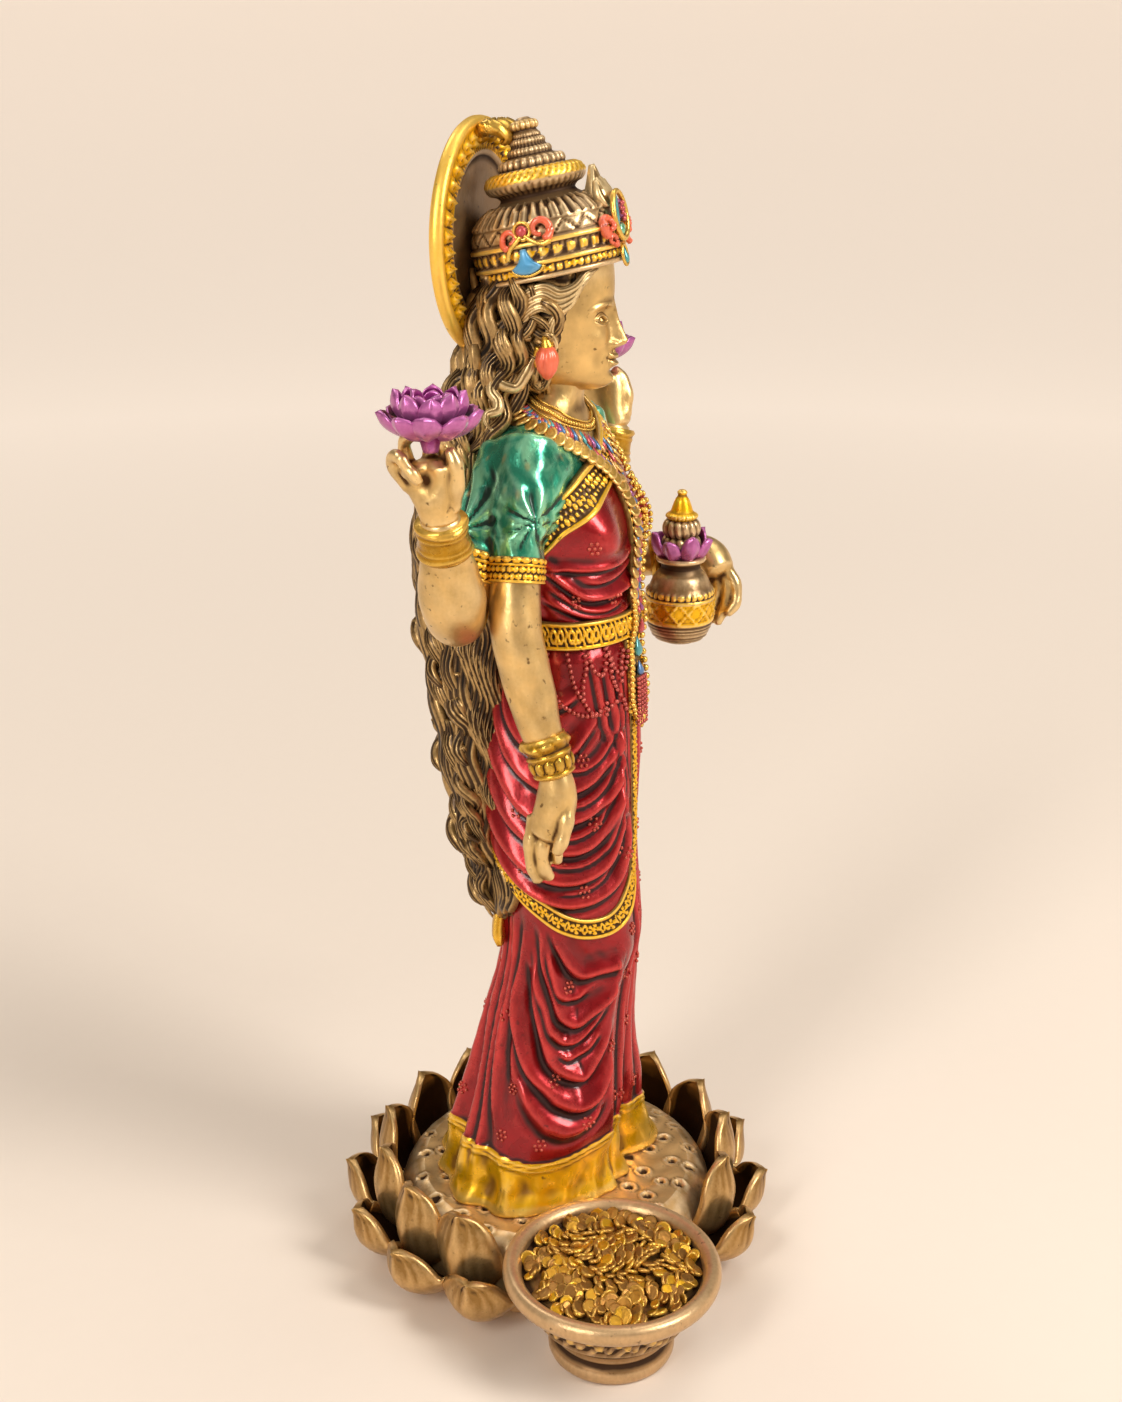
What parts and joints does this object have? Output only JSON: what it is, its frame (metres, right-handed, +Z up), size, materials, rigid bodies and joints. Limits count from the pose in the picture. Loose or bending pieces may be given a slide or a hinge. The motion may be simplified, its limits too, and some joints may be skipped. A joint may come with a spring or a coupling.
{
  "type": "lakshmi figure",
  "caption": "Standing many-armed goddess figure in bronzed, painted resin on a lotus base, with a disc halo behind her crown, a jar in one hand and a bowl of coins at her feet.",
  "frame": {"origin": "centre of the lotus base's underside, on the surface it stands on", "axes": "+Z up, the figure faces -Y, +X towards her own left"},
  "size_m": [0.1274, 0.1098, 0.28],
  "materials": {
    "bronze": "bronzed resin, dark wash left in the hollows and rubbed back to a satin shine on the high places",
    "gold_paint": "antique gold paint, dark in the hollows",
    "red_lacquer": "glossy metallic red with a dark wash in the folds",
    "green_lacquer": "glossy metallic green with faint gold sprigs",
    "magenta_paint": "pearly magenta, darker in the hollows",
    "jewel_paint": "small touches of coral red, crimson, turquoise, blue and green enamel paint"
  },
  "bodies": {
    "root": {"figure": "bronze", "halo": "gold_paint", "lotus_base": "bronze", "coin_bowl": "bronze"}
  },
  "joints": []
}
